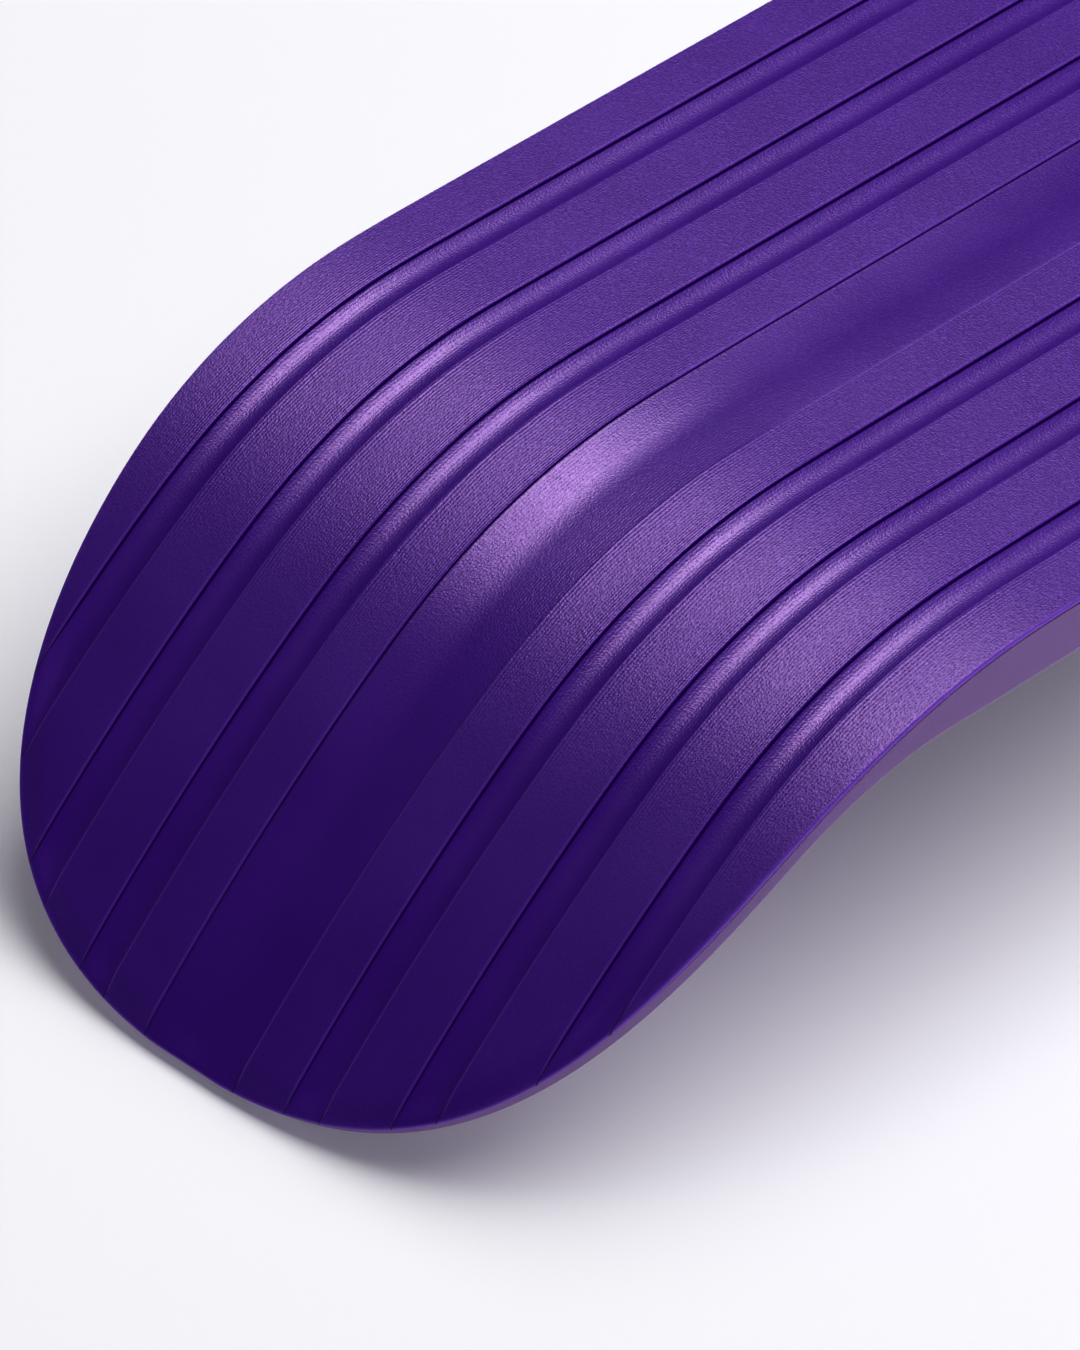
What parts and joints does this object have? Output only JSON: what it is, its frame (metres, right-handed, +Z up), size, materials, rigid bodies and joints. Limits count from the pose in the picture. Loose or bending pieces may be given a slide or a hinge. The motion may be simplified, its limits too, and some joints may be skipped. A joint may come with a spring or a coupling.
{
  "type": "balance board",
  "caption": "Twist-and-rock balance board: bent twin-shell plastic plank with lengthwise grooves and turned-down rounded ends.",
  "frame": {"origin": "on the floor under the middle of the board, which lies on its two turned-down ends", "axes": "+X along the board, +Y across it, +Z up, from the standing face to the grooved face"},
  "size_m": [0.721, 0.28, 0.1254],
  "materials": {
    "ground_shell": "satin moulded purple plastic with a fine leather-like grain",
    "foot_shell": "fine-grained paler purple plastic",
    "seam_seal": "matt dark elastomer",
    "rib_lattice": "as-moulded plastic",
    "shell_screws": "zinc-plated steel",
    "screw_caps": "satin plastic",
    "foot_pad": "matt soft foam rubber with moulded studs"
  },
  "bodies": {
    "root": {"ground_shell": "ground_shell", "foot_shell": "foot_shell", "seam_seal": "seam_seal", "rib_lattice": "rib_lattice", "shell_screws": "shell_screws", "screw_caps": "screw_caps", "foot_pad_left": "foot_pad", "foot_pad_right": "foot_pad"}
  },
  "joints": []
}
